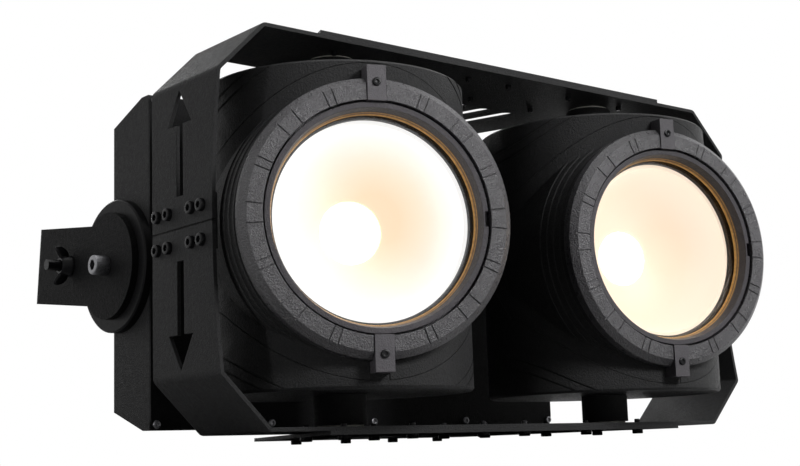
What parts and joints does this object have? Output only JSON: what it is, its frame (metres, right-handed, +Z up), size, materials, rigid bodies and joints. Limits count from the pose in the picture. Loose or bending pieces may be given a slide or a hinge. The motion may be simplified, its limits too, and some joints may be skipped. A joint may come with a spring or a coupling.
{
  "type": "audience blinder light",
  "caption": "Black stage blinder: round-lensed pods that swivel on upright posts in an octagonal sheet frame, with a rear box and a tilting U-shaped yoke.",
  "frame": {"origin": "under the middle of the light, on the surface that its lowest screw heads stand on", "axes": "+X to the right as seen from the front, +Y to the rear, +Z up; the lenses face -Y when the pods look straight ahead"},
  "size_m": [0.4854, 0.412, 0.261],
  "materials": {
    "powder_coat": "fine satin powder coat",
    "black_screw": "black zinc",
    "pod_plastic": "fine-textured moulding",
    "ring_plastic": "fine-textured moulding",
    "glass": "clear tempered glass",
    "reflector": "metallised",
    "emitter": "phosphor",
    "bare_aluminium": "extruded",
    "disc": "smooth",
    "steel": "zinc plated",
    "board": "circuit board",
    "window": "dark window",
    "button_plastic": "moulded",
    "socket_plastic": "moulded",
    "nylon": "nylon"
  },
  "bodies": {
    "frame": {"frame_lower": "powder_coat", "frame_upper": "powder_coat", "splice_plate_left": "powder_coat", "splice_plate_right": "powder_coat", "splice_screws": "black_screw", "link_plate_bottom": "powder_coat", "link_plate_top": "powder_coat", "link_screws": "black_screw", "box_bushes": "steel", "box_screws": "black_screw", "chassis_plate": "powder_coat", "rear_cover": "powder_coat", "cover_screws": "black_screw", "power_supply": "bare_aluminium", "driver_board": "board", "display_window": "window", "power_inlet": "socket_plastic", "power_outlet": "socket_plastic", "data_input": "socket_plastic", "data_output": "socket_plastic", "friction_disc_left": "disc", "friction_disc_right": "disc", "pivot_screws": "black_screw"},
    "yoke": {"yoke": "powder_coat", "yoke_bolts": "black_screw"},
    "wing_nut_left": {"wing_nut_left": "black_screw"},
    "wing_nut_right": {"wing_nut_right": "black_screw"},
    "button_menu": {"button_menu": "button_plastic"},
    "button_down": {"button_down": "button_plastic"},
    "button_up": {"button_up": "button_plastic"},
    "button_enter": {"button_enter": "button_plastic"},
    "pod_left": {"pod_left_housing": "pod_plastic", "pod_left_bell": "pod_plastic", "pod_left_front_ring": "ring_plastic", "pod_left_bezel": "ring_plastic", "pod_left_lens": "glass", "pod_left_reflector": "reflector", "pod_left_led_module": "emitter", "pod_left_heat_sink": "bare_aluminium", "pod_left_clips": "ring_plastic", "pod_left_clip_screws": "black_screw", "pod_left_posts": "powder_coat", "pod_left_washers": "nylon", "pod_left_pivot_bolts": "black_screw"},
    "pod_right": {"pod_right_housing": "pod_plastic", "pod_right_bell": "pod_plastic", "pod_right_front_ring": "ring_plastic", "pod_right_bezel": "ring_plastic", "pod_right_lens": "glass", "pod_right_reflector": "reflector", "pod_right_led_module": "emitter", "pod_right_heat_sink": "bare_aluminium", "pod_right_clips": "ring_plastic", "pod_right_clip_screws": "black_screw", "pod_right_posts": "powder_coat", "pod_right_washers": "nylon", "pod_right_pivot_bolts": "black_screw"}
  },
  "joints": [
    {"name": "yoke_tilt", "type": "hinge", "parent": "frame", "child": "yoke", "pos_m": [0, 0.07884, 0.1305], "axis": [1, 0, 0], "range_deg": [-86.9, 73.1]},
    {"name": "wing_nut_left_turn", "type": "hinge", "parent": "yoke", "child": "wing_nut_left", "pos_m": [-0.208, 0.13642, 0.13747], "axis": [1, 0, 0], "continuous": true},
    {"name": "wing_nut_right_turn", "type": "hinge", "parent": "yoke", "child": "wing_nut_right", "pos_m": [0.208, 0.13642, 0.13747], "axis": [1, 0, 0], "continuous": true},
    {"name": "pod_left_swivel", "type": "hinge", "parent": "frame", "child": "pod_left", "pos_m": [-0.1253, -0.08936, 0.1301], "axis": [0, 0, 1], "range_deg": [-4.33, 45.67]},
    {"name": "pod_right_swivel", "type": "hinge", "parent": "frame", "child": "pod_right", "pos_m": [0.1253, -0.08936, 0.1301], "axis": [0, 0, 1], "range_deg": [-12.12, 37.88]},
    {"name": "button_menu_press", "type": "slide", "parent": "frame", "child": "button_menu", "axis": [0, -1, 0], "range_m": [0, 0.0015], "stiffness_N_per_m": 400, "springref_m": -0.001},
    {"name": "button_down_press", "type": "slide", "parent": "frame", "child": "button_down", "axis": [0, -1, 0], "range_m": [0, 0.0015], "stiffness_N_per_m": 400, "springref_m": -0.001},
    {"name": "button_up_press", "type": "slide", "parent": "frame", "child": "button_up", "axis": [0, -1, 0], "range_m": [0, 0.0015], "stiffness_N_per_m": 400, "springref_m": -0.001},
    {"name": "button_enter_press", "type": "slide", "parent": "frame", "child": "button_enter", "axis": [0, -1, 0], "range_m": [0, 0.0015], "stiffness_N_per_m": 400, "springref_m": -0.001}
  ]
}
